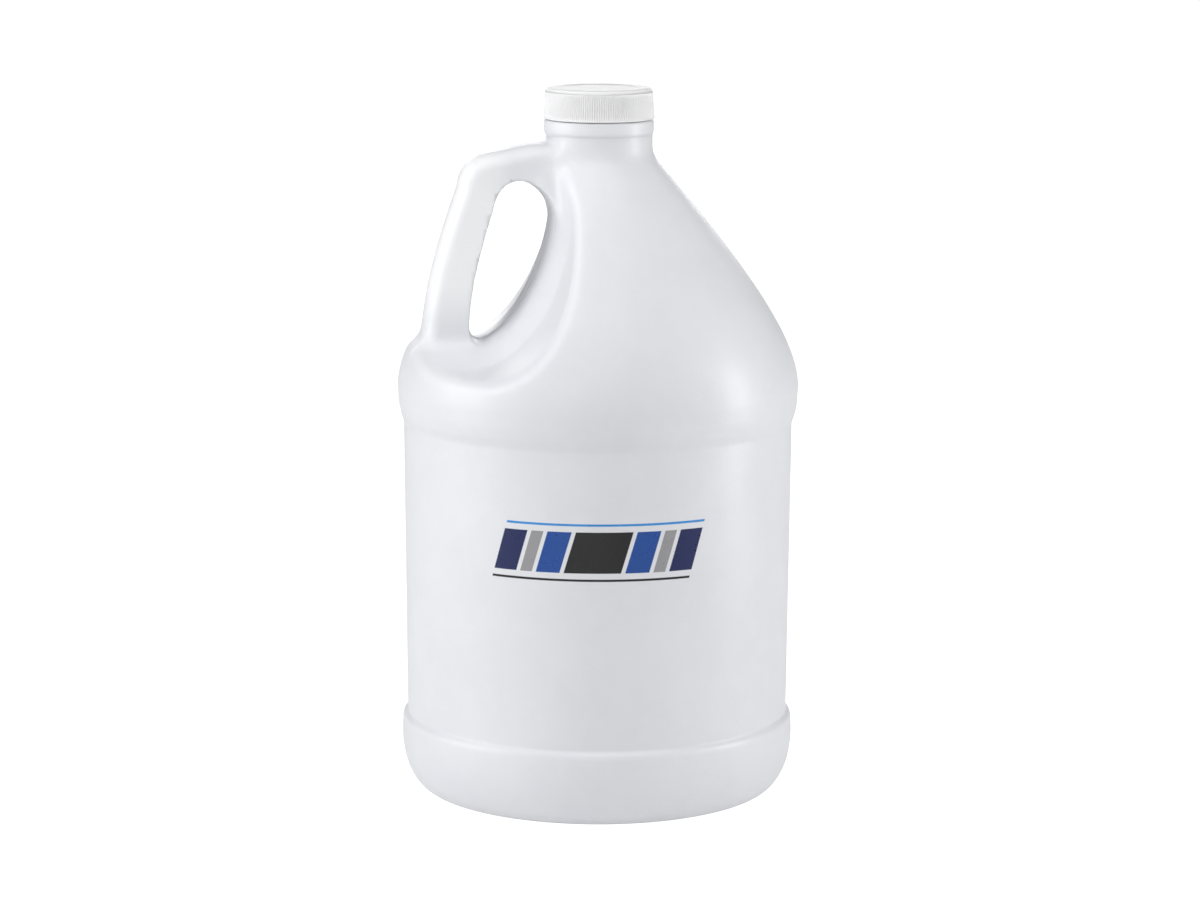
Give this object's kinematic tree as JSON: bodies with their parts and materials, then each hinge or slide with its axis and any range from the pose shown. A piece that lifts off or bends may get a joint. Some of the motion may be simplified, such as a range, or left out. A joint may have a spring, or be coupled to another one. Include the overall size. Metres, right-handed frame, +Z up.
{
  "type": "handled plastic jug",
  "caption": "Round blow-moulded gallon jug with a stepped base band, a sloping shoulder, a hollow side handle set over drafted pockets, and a ribbed screw cap with a foam liner.",
  "frame": {"origin": "centre of the foot ring, on the plane the jug stands on", "axes": "+Z up through the neck, -X towards the handle, the mould's parting plane is y = 0"},
  "size_m": [0.1592, 0.1592, 0.2806],
  "materials": {
    "jug_hdpe": "satin blown HDPE, milky and slightly translucent",
    "cap_white": "satin white moulded plastic with fine ribs",
    "liner_foam": "matt closed-cell foam"
  },
  "bodies": {
    "jug": {"jug_body": "jug_hdpe"},
    "liner": {"cap_liner": "liner_foam"},
    "cap": {"cap": "cap_white"}
  },
  "joints": [
    {"name": "cap_lift", "type": "slide", "parent": "jug", "child": "liner", "axis": [0, 0, 1], "range_m": [0, 0.01268]},
    {"name": "cap_turn", "type": "hinge", "parent": "liner", "child": "cap", "pos_m": [0, 0, 0.27], "axis": [0, 0, 1], "range_deg": [0, 1080]}
  ],
  "couplings": [
    {"joint": "cap_turn", "follows": "cap_lift", "rad_per_m": 1485.4}
  ]
}
